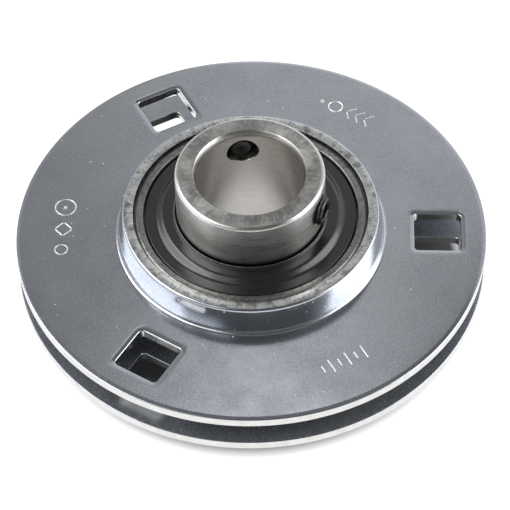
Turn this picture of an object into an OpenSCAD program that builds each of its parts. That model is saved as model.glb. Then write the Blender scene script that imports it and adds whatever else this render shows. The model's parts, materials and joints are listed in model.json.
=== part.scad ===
// Round flanged bearing unit with three bolt holes. Two pressed steel halves clamp an
// insert ball bearing in a spherical seat, and the inner ring is long on both sides and
// carries two grub screws.
// The origin is the bearing's centre, on the shaft axis. +Z points to the grub screw
// end, +X through the first bolt hole. The halves lie loose, before they are bolted:
// the front half sits on the bearing and the rear half has dropped below it.

/* [Housing halves] */
// Outside diameter of the flange
flange_d = 90; // [86:0.5:98]
// Thickness of the sheet that both halves are pressed from
sheet_t = 2; // [1.6:0.1:2.4]
// Diameter of the circle through the bolt holes' centres
bolt_circle_d = 71.5; // [68:0.5:74]
// Number of bolt holes
bolt_count = 3; // [2:1:4]
// Side of each square bolt hole
bolt_hole_w = 9; // [7:0.5:10]
// Corner radius of each square bolt hole
bolt_hole_corner_r = 0.8; // [0.3:0.1:1.5]
// Height of the hub's rim above the parting face
hub_h = 7.6; // [6.8:0.1:8.4]
// Radius of the bend where the flange meets the hub's outside
hub_bend_r = 0.8; // [0.4:0.1:1.4]
// Radius of the corner between the seat and the parting face
seat_corner_r = 1.2; // [0.4:0.1:1.8]
// Radius that the punch leaves on the flange's outer edge
flange_edge_r = 0.6; // [0.2:0.1:1.2]
// How far the loose rear half has dropped from the front half
loose_gap = 5.1; // [0.5:0.1:6]

/* [Bearing rings] */
// Diameter of the outer ring's spherical outside
outer_ring_d = 47; // [46.6:0.1:48]
// Width of the outer ring
outer_ring_w = 14; // [13.8:0.1:15]
// Diameter of the shaft bore
bore_d = 20; // [17:0.5:21]
// Outside diameter of the inner ring
inner_ring_d = 28.2; // [27.6:0.1:28.6]
// Length of the inner ring from the centre to the grub screw end
inner_ring_front = 18.3; // [17.5:0.1:20]
// Length of the inner ring from the centre to the plain end
inner_ring_rear = 12.7; // [10:0.1:14]
// Chamfer on the outer ring's outside edges
outer_chamfer = 0.8; // [0.3:0.1:1.2]
// Chamfer on the inner ring's outside edges
inner_chamfer = 0.8; // [0.3:0.1:1.2]
// Depth of the chamfer at each end of the bore, along the shaft
bore_chamfer_len = 1.1; // [0.5:0.1:1.5]
// Width of the chamfer at each end of the bore
bore_chamfer_w = 0.6; // [0.3:0.1:1]

/* [Balls and cage] */
// Diameter of each ball
ball_d = 7.938; // [7.8:0.001:7.95]
// Number of balls
ball_count = 8; // [6:1:8]
// Diameter of the circle through the balls' centres
pitch_d = 33.5; // [33.4:0.1:33.6]
// Width of the cage's ring, measured along a radius
cage_w = 3.5; // [2.5:0.1:3.6]
// Height of the cage's prongs above the balls' centres
prong_h = 2.6; // [2:0.1:2.8]

/* [Seals] */
// Thickness of the seal washers
washer_t = 0.5; // [0.4:0.05:0.6]
// Thickness of the flingers' sheet
flinger_t = 0.5; // [0.4:0.05:0.55]
// Height of the conical step between a flinger's outer and inner flats
step_h = 0.9; // [0.4:0.1:1]
// Radius of the middle of that step
step_at_r = 17.3; // [16.6:0.1:18]

/* [Grub screws] */
// Diameter of each grub screw, at the pitch line of its M6 x 0.75 thread
screw_d = 5.5; // [5:0.1:5.6]
// Length of each grub screw
screw_len = 4.5; // [4:0.1:5]
// Distance from the shaft axis to each screw's cup point
screw_tip_r = 10.7; // [10.5:0.1:11.2]
// Height of the screws above the bearing's centre
screw_z = 13.3; // [12:0.1:13.5]
// Direction of the first screw, counted from +X
screw_angle = 100; // [0:5:355]
// Angle between the two screws
screw_spread = 120; // [100:5:135]
// Width across flats of the screws' hexagon sockets
socket_w = 3; // [2.5:0.5:3]
// Depth of the sockets
socket_depth = 2; // [1.5:0.1:2.2]

/* [Hidden] */
$fn = 96;

zinc = "#a9b0b6";
ground_steel = "#b8b4ab";
ring_steel = "#8f918d";
black_coating = "#222326";
black_rubber = "#2c2c2c";
polyamide = "#cbbf9c";

// Room left between parts, and how far a cutting shape runs past what it cuts
seat_clearance = 0.06;
ball_clearance = 0.02;
pocket_clearance = 0.12;
screw_clearance = 0.05;
lip_clearance = 0.03;
past = 1;

flange_r = flange_d / 2;
ring_r = outer_ring_d / 2;
hub_r = ring_r + sheet_t;
seat_r = ring_r + seat_clearance;
rim_inner_r = sqrt(pow(seat_r, 2) - pow(hub_h, 2));
rim_outer_chamfer = 0.2;
rim_inner_chamfer = 0.3;

bore_r = bore_d / 2;
inner_ring_r = inner_ring_d / 2;
outer_half_w = outer_ring_w / 2;
outer_shoulder_r = 19.4;

// The races are a little hollower than the balls, as in any deep groove bearing
ball_r = ball_d / 2;
pitch_r = pitch_d / 2;
inner_groove_r = 0.515 * ball_d;
outer_groove_r = 0.52 * ball_d;
inner_groove_at = pitch_r - ball_r - ball_clearance + inner_groove_r;
outer_groove_at = pitch_r + ball_r + ball_clearance - outer_groove_r;

pocket_r = ball_r + pocket_clearance;
cage_bottom = -pocket_r - 0.55;
prong_gap = 2;

// Seals lie in the outer ring's recess, behind the flingers on the inner ring
recess_r = 20.4;
washer_r = 20.9;
washer_bore_r = 15.9;
washer_z = 5;
recess_floor_z = washer_z;
lip_z = 4.95;
lip_body_r = 16.6;
lip_body_bore_r = 15;
lip_h = 0.9;
lip_edge_h = 0.3;
flinger_r = 20.1;
flinger_z = 6.15;
flinger_hem_z = 5.85;
step_w = 1.2;
collar_r = inner_ring_r + 0.55;
collar_h = 0.4;
small_round = 0.3;

screw_r = screw_d / 2;
cup_point_r = 1.6;
cup_depth = 0.6;
screw_edge = 0.35;

// The waste outside a rounded corner whose tip is at the origin, metal towards -X -Y
module corner_waste(r) {
    difference() {
        translate([-r, -r]) square(r + past);
        translate([-r, -r]) circle(r);
    }
}

// A square on its corner, which takes a chamfer of the width c off an edge's outline
module chamfer_cut(at, c) {
    translate(at) rotate(45) square(c * sqrt(2), center = true);
}

// What a chamfer of the width c takes off where a flat face at height z ends a sphere's outline
module sphere_edge_waste(r, z, c) {
    edge_r = sqrt(pow(r, 2) - pow(z, 2));
    side_r = sqrt(pow(r, 2) - pow(z - c, 2));
    polygon([
        [edge_r - c, z],
        [side_r, z - c],
        [r + past, z - c],
        [r + past, z + past],
        [edge_r - c, z + past]
    ]);
}

// The bend between the flange's face and the hub: it touches both
module hub_bend() {
    centre = [sqrt(pow(hub_r + hub_bend_r, 2) - pow(sheet_t + hub_bend_r, 2)), sheet_t + hub_bend_r];
    touch = centre * hub_r / (hub_r + hub_bend_r);
    floor_z = sheet_t / 2;
    difference() {
        polygon([centre, touch, [touch.x, floor_z], [centre.x, floor_z]]);
        translate(centre) circle(hub_bend_r);
    }
}

// What is missing where the parting face turns into the seat
module seat_corner_waste() {
    centre = [sqrt(pow(seat_r + seat_corner_r, 2) - pow(seat_corner_r, 2)), seat_corner_r];
    touch = centre * seat_r / (seat_r + seat_corner_r);
    difference() {
        polygon([centre, touch, [touch.x - past, -past], [centre.x, -past]]);
        translate(centre) circle(seat_corner_r);
    }
}

module housing_profile() {
    difference() {
        union() {
            square([flange_r, sheet_t]);
            intersection() {
                circle(hub_r);
                square([hub_r, hub_h]);
            }
            hub_bend();
        }
        circle(seat_r);
        seat_corner_waste();
        translate([flange_r, sheet_t]) corner_waste(flange_edge_r);
        sphere_edge_waste(hub_r, hub_h, rim_outer_chamfer);
        chamfer_cut([rim_inner_r, hub_h], rim_inner_chamfer);
    }
}

module bolt_hole_outline() {
    straight = bolt_hole_w - 2 * bolt_hole_corner_r;
    square([bolt_hole_w, straight], center = true);
    square([straight, bolt_hole_w], center = true);
    for (x = [-1, 1], y = [-1, 1])
        translate([x, y] * straight / 2) circle(bolt_hole_corner_r, $fn = 32);
}

// One half with its parting face on Z = 0 and its hub upwards
module housing_half() {
    difference() {
        rotate_extrude() housing_profile();
        for (i = [0:bolt_count - 1])
            rotate(i * 360 / bolt_count)
                translate([bolt_circle_d / 2, 0, -past])
                    linear_extrude(sheet_t + 2 * past) bolt_hole_outline();
    }
}

module front_housing_half() {
    color(zinc) housing_half();
}

module rear_housing_half() {
    color(zinc) translate([0, 0, -loose_gap]) mirror([0, 0, 1]) housing_half();
}

module outer_ring_profile() {
    difference() {
        intersection() {
            circle(ring_r);
            translate([outer_shoulder_r, -outer_half_w]) square([ring_r, outer_ring_w]);
        }
        translate([outer_groove_at, 0]) circle(outer_groove_r);
        for (side = [0, 1])
            mirror([0, side]) {
                translate([0, recess_floor_z]) square([recess_r, outer_half_w]);
                translate([0, washer_z]) square([washer_r, washer_t]);
                chamfer_cut([recess_r, outer_half_w], small_round);
                sphere_edge_waste(ring_r, outer_half_w, outer_chamfer);
            }
    }
}

module outer_ring() {
    color(ring_steel) rotate_extrude() outer_ring_profile();
}

// The chamfer at one end of the bore, with that end on Y = 0 and metal below it
module bore_chamfer_cut() {
    polygon([
        [bore_r - past, past],
        [bore_r - past, -bore_chamfer_len],
        [bore_r, -bore_chamfer_len],
        [bore_r + bore_chamfer_w, 0],
        [bore_r + bore_chamfer_w, past]
    ]);
}

module inner_ring_profile() {
    difference() {
        translate([bore_r, -inner_ring_rear])
            square([inner_ring_r - bore_r, inner_ring_rear + inner_ring_front]);
        translate([inner_groove_at, 0]) circle(inner_groove_r);
        translate([0, inner_ring_front]) bore_chamfer_cut();
        translate([0, -inner_ring_rear]) mirror([0, 1]) bore_chamfer_cut();
        chamfer_cut([inner_ring_r, inner_ring_front], inner_chamfer);
        chamfer_cut([inner_ring_r, -inner_ring_rear], inner_chamfer);
    }
}

// Puts its children on a grub screw's axis, with +Z pointing away from the shaft
module on_screw_axis(i) {
    rotate(screw_angle - (i - 1) * screw_spread)
        translate([0, 0, screw_z]) rotate([0, 90, 0]) children();
}

module inner_ring() {
    color(ground_steel)
        difference() {
            rotate_extrude() inner_ring_profile();
            for (i = [1, 2])
                on_screw_axis(i)
                    translate([0, 0, bore_r / 2])
                        cylinder(r = screw_r + screw_clearance, h = inner_ring_r, $fn = 64);
        }
}

module grub_screw(i) {
    socket_r = socket_w / 2 / cos(30);
    color(black_coating)
        on_screw_axis(i)
            translate([0, 0, screw_tip_r])
                difference() {
                    rotate_extrude($fn = 64)
                        polygon([
                            [0, cup_depth],
                            [cup_point_r - 0.3, 0],
                            [cup_point_r, 0],
                            [screw_r, screw_r - cup_point_r],
                            [screw_r, screw_len - screw_edge],
                            [screw_r - screw_edge, screw_len],
                            [0, screw_len]
                        ]);
                    translate([0, 0, screw_len - socket_depth])
                        cylinder(r = socket_r, h = socket_depth + past, $fn = 6);
                }
}

module ball(i) {
    color(ground_steel)
        rotate((i - 0.5) * 360 / ball_count) translate([pitch_r, 0, 0]) sphere(ball_r);
}

// A snap-in crown cage: open pockets on the grub screw side, a closed ring on the other
module ball_cage() {
    color(polyamide)
        difference() {
            rotate_extrude()
                translate([pitch_r - cage_w / 2, cage_bottom])
                    square([cage_w, prong_h - cage_bottom]);
            for (i = [1:ball_count]) {
                rotate((i - 0.5) * 360 / ball_count) translate([pitch_r, 0, 0]) sphere(pocket_r);
                rotate(i * 360 / ball_count) prong_gap_cut();
            }
        }
}

// The round-bottomed gap that parts two neighbouring prongs
module prong_gap_cut() {
    bottom_z = prong_h - 0.8 * prong_gap;
    translate([pitch_r, 0, bottom_z]) rotate([0, 90, 0]) cylinder(d = prong_gap, h = cage_w + past, center = true);
    translate([pitch_r, 0, bottom_z + prong_gap]) cube([cage_w + past, prong_gap, 2 * prong_gap], center = true);
}

module seal_washer() {
    color(black_coating)
        rotate_extrude()
            translate([washer_bore_r, washer_z]) square([washer_r - washer_bore_r, washer_t]);
}

// Rubber moulded round the washer's inner edge, with two lips that wipe the inner ring
module seal_lip() {
    lip_r = inner_ring_r + lip_clearance;
    color(black_rubber)
        rotate_extrude()
            difference() {
                union() {
                    translate([lip_body_bore_r, lip_z]) square([lip_body_r - lip_body_bore_r, lip_h]);
                    for (z = [lip_z, lip_z + lip_h - lip_edge_h])
                        translate([lip_r, z]) square([lip_body_bore_r - lip_r, lip_edge_h]);
                }
                translate([washer_bore_r, washer_z]) square([washer_r, washer_t]);
            }
}

// A dished disc pressed on the inner ring: a collar, two flats with a step between, and a hem
module flinger() {
    outer_top = flinger_z + flinger_t;
    inner_top = outer_top + step_h;
    collar_z = inner_top + collar_h;
    step_in = step_at_r - step_w / 2;
    step_out = step_at_r + step_w / 2;
    color(black_coating)
        rotate_extrude()
            difference() {
                polygon([
                    [inner_ring_r, flinger_z + step_h],
                    [step_in, flinger_z + step_h],
                    [step_out, flinger_z],
                    [flinger_r - flinger_t, flinger_z],
                    [flinger_r - flinger_t, flinger_hem_z],
                    [flinger_r, flinger_hem_z],
                    [flinger_r, outer_top],
                    [step_out, outer_top],
                    [step_in, inner_top],
                    [collar_r, inner_top],
                    [collar_r, collar_z],
                    [inner_ring_r, collar_z]
                ]);
                translate([flinger_r, outer_top]) corner_waste(small_round);
                chamfer_cut([collar_r, collar_z], small_round / 2);
            }
}

// The seals and flingers are the same on both sides
module rear_side() {
    mirror([0, 0, 1]) children();
}

front_housing_half();
rear_housing_half();
outer_ring();
inner_ring();
ball_cage();
for (i = [1:ball_count])
    ball(i);
seal_washer();  // front_seal_washer
rear_side() seal_washer();  // rear_seal_washer
seal_lip();  // front_seal_lip
rear_side() seal_lip();  // rear_seal_lip
flinger();  // front_flinger
rear_side() flinger();  // rear_flinger
grub_screw(1);  // grub_screw_1
grub_screw(2);  // grub_screw_2
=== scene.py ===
"""A round flanged bearing unit: two pressed steel halves lying loose round an insert bearing."""

import json
import math

import bmesh
import bpy
from mathutils import Matrix, Vector

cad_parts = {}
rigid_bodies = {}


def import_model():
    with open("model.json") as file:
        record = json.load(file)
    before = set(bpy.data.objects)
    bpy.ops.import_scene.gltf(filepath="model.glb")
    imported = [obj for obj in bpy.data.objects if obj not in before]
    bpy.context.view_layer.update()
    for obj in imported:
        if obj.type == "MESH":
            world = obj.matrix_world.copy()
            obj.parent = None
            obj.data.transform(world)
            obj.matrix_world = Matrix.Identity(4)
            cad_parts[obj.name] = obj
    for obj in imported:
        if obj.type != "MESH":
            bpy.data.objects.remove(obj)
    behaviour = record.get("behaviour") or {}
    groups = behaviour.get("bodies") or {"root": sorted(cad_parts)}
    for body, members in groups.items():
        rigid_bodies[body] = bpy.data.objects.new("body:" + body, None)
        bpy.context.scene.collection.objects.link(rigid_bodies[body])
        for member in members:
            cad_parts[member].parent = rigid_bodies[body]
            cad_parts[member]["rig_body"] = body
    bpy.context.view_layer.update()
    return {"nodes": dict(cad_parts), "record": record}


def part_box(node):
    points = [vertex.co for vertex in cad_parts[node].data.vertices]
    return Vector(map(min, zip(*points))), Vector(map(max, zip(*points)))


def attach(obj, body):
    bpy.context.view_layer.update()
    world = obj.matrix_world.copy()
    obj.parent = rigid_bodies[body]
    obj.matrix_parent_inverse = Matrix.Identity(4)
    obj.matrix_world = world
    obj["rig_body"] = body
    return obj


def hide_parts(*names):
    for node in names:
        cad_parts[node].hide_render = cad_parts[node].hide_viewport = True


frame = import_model()

MM = 0.001
SEGMENTS = 288
SHARP_ANGLE = 38
BALL_COUNT = 8
record = frame["record"]
mounts = {m["name"]: m for m in record["mounts"]}


# ---------------------------------------------------------------- sizes, from the frame
class Size:
    """The dimensions that the pieces share, in metres, most of them read from the CAD model."""

    flange_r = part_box("front_housing_half")[1].x
    sheet = mounts["front_flange_face"]["pos_m"][2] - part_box("front_housing_half")[0].z
    hub_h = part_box("front_housing_half")[1].z
    rear_parting_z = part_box("rear_housing_half")[1].z
    bolt_circle_r = mounts["bolt_holes"]["dims"]["pcd_mm"] / 2 * MM
    bolt_hole_half = mounts["bolt_holes"]["dims"]["hole_r_mm"] * MM
    bolt_hole_corner = 0.8 * MM
    bolt_count = mounts["bolt_holes"]["dims"]["count"]
    ring_half_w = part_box("outer_ring")[1].z
    ring_r = 23.5 * MM
    seat_r = ring_r + 0.06 * MM
    hub_r = ring_r + sheet
    recess_r = 20.4 * MM
    shoulder_r = 19.4 * MM
    bore_r = mounts["shaft_bore"]["dims"]["r_mm"] * MM
    inner_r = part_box("inner_ring")[1].x
    inner_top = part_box("inner_ring")[1].z
    inner_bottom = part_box("inner_ring")[0].z
    ball_r = (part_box("ball_1")[1].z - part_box("ball_1")[0].z) / 2
    pitch_r = 16.75 * MM


# ---------------------------------------------------------------- camera
CAMERA_ELEVATION = 50.404
CAMERA_AZIMUTH = 2.649
CAMERA_ROLL = -1.091
CAMERA_DISTANCE = 439.39 * MM
CAMERA_SHIFT = (0.77 * MM, -5.09 * MM)
CAMERA_LENS = 161.79


def add_camera():
    """A long lens, looking down at the flange's front face."""
    elevation, azimuth, roll = map(math.radians, (CAMERA_ELEVATION, CAMERA_AZIMUTH, CAMERA_ROLL))
    forward = Vector((-math.sin(azimuth) * math.cos(elevation),
                      math.cos(azimuth) * math.cos(elevation),
                      -math.sin(elevation)))
    level_right = Vector((math.cos(azimuth), math.sin(azimuth), 0))
    level_up = level_right.cross(forward)
    right = level_right * math.cos(roll) + level_up * math.sin(roll)
    up = level_up * math.cos(roll) - level_right * math.sin(roll)
    target = Vector((0, 0, Size.sheet)) + right * CAMERA_SHIFT[0] + up * CAMERA_SHIFT[1]
    data = bpy.data.cameras.new("camera")
    data.lens = CAMERA_LENS
    data.clip_start = 0.01
    camera = bpy.data.objects.new("camera", data)
    bpy.context.scene.collection.objects.link(camera)
    place = Matrix((right, up, -forward)).transposed().to_4x4()
    place.translation = target - forward * CAMERA_DISTANCE
    camera.matrix_world = place
    bpy.context.scene.camera = camera


# ---------------------------------------------------------------- mesh helpers
def polar(r, angle, z):
    return Vector((r * math.cos(angle), r * math.sin(angle), z))


def arc(centre, radius, start, end, steps):
    """Points (r, z) along an arc, its angles in degrees from +r towards +z."""
    angles = [math.radians(start + (end - start) * i / steps) for i in range(steps + 1)]
    return [(centre[0] + radius * math.cos(a), centre[1] + radius * math.sin(a)) for a in angles]


def rounded(outline, radii, steps=4):
    """A closed outline (r, z), its corners rounded by the radius given for each; 0 keeps one sharp."""
    points = []
    count = len(outline)
    for i, (corner, radius) in enumerate(zip(outline, radii)):
        here = Vector(corner)
        if radius == 0:
            points.append(tuple(here))
            continue
        before = (Vector(outline[i - 1]) - here).normalized()
        after = (Vector(outline[(i + 1) % count]) - here).normalized()
        half = before.angle(after) / 2
        centre = here + (before + after).normalized() * radius / math.sin(half)
        reach = radius / math.tan(half)
        first = here + before * reach - centre
        sweep = first.angle_signed(here + after * reach - centre)
        for k in range(steps + 1):
            turned = first.copy()
            turned.rotate(Matrix.Rotation(-sweep * k / steps, 2))
            points.append(tuple(centre + turned))
    return points


def add_rings(bm, outline, closed, angles, material=lambda i: 0):
    """Sweeps an outline (r, z) round the Z axis through the given angles."""
    turn = len(angles) == SEGMENTS
    rings = [[bm.verts.new(polar(r, a, z)) for a in angles] for r, z in outline]
    for i in range(len(outline) if closed else len(outline) - 1):
        lower, upper = rings[i], rings[(i + 1) % len(outline)]
        for j in range(len(angles) if turn else len(angles) - 1):
            k = (j + 1) % len(angles)
            face = bm.faces.new((lower[j], lower[k], upper[k], upper[j]))
            face.material_index = material(i)


ALL_ROUND = [2 * math.pi * j / SEGMENTS for j in range(SEGMENTS)]


def finish_piece(name, bm, materials, node, sharp_angle=SHARP_ANGLE):
    """Turns a bmesh into a smooth-shaded piece that stands for a CAD node and rides on its body."""
    bmesh.ops.remove_doubles(bm, verts=bm.verts, dist=1e-7)
    bmesh.ops.recalc_face_normals(bm, faces=bm.faces)
    mesh = bpy.data.meshes.new(name)
    bm.to_mesh(mesh)
    bm.free()
    piece = bpy.data.objects.new(name, mesh)
    bpy.context.scene.collection.objects.link(piece)
    for m in materials:
        mesh.materials.append(m)
    shade(piece, sharp_angle)
    body = frame["nodes"][node]["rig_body"]
    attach(piece, body)
    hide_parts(node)
    return piece


def shade(piece, sharp_angle):
    mesh = piece.data
    mesh.shade_smooth()
    mesh.set_sharp_from_angle(angle=math.radians(sharp_angle))
    normals = piece.modifiers.new("normals", "WEIGHTED_NORMAL")
    normals.keep_sharp = True
    normals.weight = 60


def revolved(name, outline, materials, node, material=lambda i: 0):
    bm = bmesh.new()
    add_rings(bm, outline, True, ALL_ROUND, material)
    return finish_piece(name, bm, materials, node)


# ---------------------------------------------------------------- housing halves
EDGE_W = 0.85 * MM
EDGE_DROP = 0.124 * MM
EDGE_CORNER = 0.2 * MM
HOLE_EDGE_W = 0.9 * MM
HOLE_EDGE_DROP = 0.13 * MM
HOLE_EDGE_CORNER = 0.22 * MM
HUB_BEND = 0.8 * MM
SEAT_CORNER = 1.2 * MM
BURR = 0.12 * MM
PATCH_HALF = 9
PATCH_INNER_R = 28.8 * MM
PATCH_OUTER_R = 42.6 * MM
PATCH_ROWS = 10
PATCH_ROW_W = (PATCH_OUTER_R - PATCH_INNER_R) / PATCH_ROWS
PATCH_RADII = [PATCH_INNER_R + PATCH_ROW_W * k for k in range(PATCH_ROWS + 1)]
CORNER_STEPS = 3
# How many degrees short of the rim the hub's wall and its seat stop, where the rim's corners begin.
WALL_STOPS = 0.8
SEAT_STOPS = 1.0
# The rim's corners: distance from its outer or its inner radius, and drop below its top.
RIM_OUTER_CORNER = ((-0.06 * MM, 0.08 * MM), (-0.26 * MM, 0))
RIM_INNER_CORNER = ((1.05 * MM, 0), (0.45 * MM, 0.05 * MM), (0.1 * MM, 0.15 * MM))
# Material slots of a housing half.
SHEET, SHEARED, RIM, PARTING, MARK = range(5)


def blanked_edge(width, drop, corner, steps=5):
    """(outward distance still to go, drop) down a punched edge: a shallow droop, then a tight corner."""
    slope = math.atan(1.5 * drop / (width - corner))
    points = [(width - (width - corner) * t, drop * t ** 1.5) for t in (k / steps for k in range(1, steps))]
    for k in range(steps + 1):
        a = slope + (math.pi / 2 - slope) * k / steps
        points.append((corner * (1 - math.sin(a)), drop + corner * (math.cos(slope) - math.cos(a))))
    return points


def hole_side(grow, count):
    """Points along one side of the square hole, grown by a distance, from mid-corner to mid-corner."""
    half = Size.bolt_hole_half + grow
    r = Size.bolt_hole_corner + grow
    straight = half - r
    points = []
    for k in range(CORNER_STEPS + 1):
        a = math.radians(225 + 45 * k / CORNER_STEPS)
        points.append((-straight + r * math.cos(a), -straight + r * math.sin(a)))
    inner = count - 2 * CORNER_STEPS
    for k in range(1, inner):
        points.append((-straight + 2 * straight * k / inner, -half))
    for k in range(CORNER_STEPS + 1):
        a = math.radians(270 + 45 * k / CORNER_STEPS)
        points.append((straight + r * math.cos(a), -straight + r * math.sin(a)))
    return points


def hole_loop(grow, z, angle):
    """The square hole's outline round one bolt hole, in step with patch_border."""
    counts = (2 * PATCH_HALF, PATCH_ROWS, 2 * PATCH_HALF, PATCH_ROWS)
    loop = []
    for side, count in enumerate(counts):
        turn = math.radians(-90 + 90 * side)
        for x, y in hole_side(grow, count)[:-1]:
            u = x * math.cos(turn) - y * math.sin(turn)
            v = x * math.sin(turn) + y * math.cos(turn)
            place = Vector((Size.bolt_circle_r + u, v, z))
            loop.append(Matrix.Rotation(angle, 3, "Z") @ place)
    return loop


def patch_border(z, first):
    """The border of a bolt hole's patch, anticlockwise from above: inner arc, side, outer arc, side."""
    step = 2 * math.pi / SEGMENTS
    low, high = first * step, (first + 2 * PATCH_HALF) * step
    inner = [polar(PATCH_RADII[0], high - step * k, z) for k in range(2 * PATCH_HALF)]
    start = [polar(PATCH_RADII[k], low, z) for k in range(PATCH_ROWS)]
    outer = [polar(PATCH_RADII[-1], low + step * k, z) for k in range(2 * PATCH_HALF)]
    end = [polar(PATCH_RADII[PATCH_ROWS - k], high, z) for k in range(PATCH_ROWS)]
    return inner + start + outer + end


def add_loops(bm, loops, material):
    rows = [[bm.verts.new(p) for p in loop] for loop in loops]
    for lower, upper in zip(rows, rows[1:]):
        for j in range(len(lower)):
            k = (j + 1) % len(lower)
            bm.faces.new((lower[j], lower[k], upper[k], upper[j])).material_index = material


def between(loop_a, loop_b, count):
    return [[a.lerp(b, k / count) for a, b in zip(loop_a, loop_b)] for k in range(count)]


def hole_first_segment(i):
    return round(SEGMENTS * i / Size.bolt_count) - PATCH_HALF


def add_flat(bm, z, r_in, r_out, material):
    """A flat flange face between two radii, open round each bolt hole's patch."""
    add_rings(bm, [(r_in, z), (PATCH_INNER_R, z)], False, ALL_ROUND, lambda i: material)
    add_rings(bm, [(PATCH_OUTER_R, z), (r_out, z)], False, ALL_ROUND, lambda i: material)
    step = 2 * math.pi / SEGMENTS
    rows = [(r, z) for r in PATCH_RADII]
    between_holes = SEGMENTS // Size.bolt_count - 2 * PATCH_HALF
    for i in range(Size.bolt_count):
        first = hole_first_segment(i) + 2 * PATCH_HALF
        angles = [(first + k) * step for k in range(between_holes + 1)]
        add_rings(bm, rows, False, angles, lambda i: material)


def hub_bend():
    """Centre (r, z) of the bend between the flange's face and the hub's wall."""
    height = Size.sheet + HUB_BEND
    return Vector((math.sqrt((Size.hub_r + HUB_BEND) ** 2 - height ** 2), height))


def seat_corner():
    """Centre (r, z) of the corner between the seat and the parting face."""
    return Vector((math.sqrt((Size.seat_r + SEAT_CORNER) ** 2 - SEAT_CORNER ** 2), SEAT_CORNER))


def add_hub(bm):
    """From the flange's face up the hub's wall, over the cut rim and down the spherical seat."""
    bend = hub_bend()
    bend_angle = math.degrees(math.atan2(bend.y, bend.x))
    corner = seat_corner()
    corner_angle = math.degrees(math.atan2(corner.y, corner.x))
    rim_outer = math.degrees(math.asin(Size.hub_h / Size.hub_r))
    rim_inner = math.degrees(math.asin(Size.hub_h / Size.seat_r))
    rim_out_r = Size.hub_r * math.cos(math.radians(rim_outer))
    rim_in_r = Size.seat_r * math.cos(math.radians(rim_inner))

    outline = arc(bend, HUB_BEND, 270, 180 + bend_angle, 8)
    outline += arc((0, 0), Size.hub_r, bend_angle, rim_outer - WALL_STOPS, 16)[1:]
    rim_start = len(outline) + 1
    outline += [(rim_out_r + out, Size.hub_h - drop) for out, drop in RIM_OUTER_CORNER]
    outline += [(rim_in_r + out, Size.hub_h - drop) for out, drop in RIM_INNER_CORNER]
    rim_end = len(outline) - 1
    outline += arc((0, 0), Size.seat_r, rim_inner - SEAT_STOPS, corner_angle, 16)
    outline += arc(corner, SEAT_CORNER, 180 + corner_angle, 270, 8)[1:]
    add_rings(bm, outline, False, ALL_ROUND, lambda i: RIM if rim_start <= i < rim_end else SHEET)


def add_outer_edge(bm):
    """The flange's punched edge: the droop at the front, the burnished band and the burr."""
    rolled = [(EDGE_W, 0)] + blanked_edge(EDGE_W, EDGE_DROP, EDGE_CORNER)
    edge = [(Size.flange_r - w, Size.sheet - d) for w, d in rolled]
    wall_start = len(edge) - 1
    edge += [(Size.flange_r, BURR), (Size.flange_r - BURR / 2, BURR / 4), (Size.flange_r - BURR, 0)]
    add_rings(bm, edge, False, ALL_ROUND, lambda i: SHEARED if i == wall_start else SHEET)


def add_bolt_hole(bm, i):
    """One square hole with its patch of flange on both faces."""
    angle = 2 * math.pi * i / Size.bolt_count
    first = hole_first_segment(i)
    top_rim = hole_loop(HOLE_EDGE_W, Size.sheet, angle)
    rolled = blanked_edge(HOLE_EDGE_W, HOLE_EDGE_DROP, HOLE_EDGE_CORNER)
    roll = [hole_loop(w, Size.sheet - d, angle) for w, d in rolled]
    add_loops(bm, between(patch_border(Size.sheet, first), top_rim, 3) + [top_rim] + roll, SHEET)
    bottom_rim = hole_loop(BURR, 0, angle)
    wall_end = hole_loop(0, BURR, angle)
    add_loops(bm, [roll[-1], wall_end], SHEARED)
    add_loops(bm, [wall_end, bottom_rim], SHEET)
    add_loops(bm, between(patch_border(0, first), bottom_rim, 4) + [bottom_rim], PARTING)


def housing_bmesh():
    """One half with its parting face on z = 0."""
    bm = bmesh.new()
    add_hub(bm)
    add_outer_edge(bm)
    add_flat(bm, Size.sheet, hub_bend().x, Size.flange_r - EDGE_W, SHEET)
    add_flat(bm, 0, seat_corner().x, Size.flange_r - BURR, PARTING)
    for i in range(Size.bolt_count):
        add_bolt_hole(bm, i)
    return bm


MARK_R = 36.0 * MM
MARK_DEPTH = 0.14 * MM
MARK_HALF_W = 0.17 * MM
MARK_CLEAR = 0.05 * MM


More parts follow.
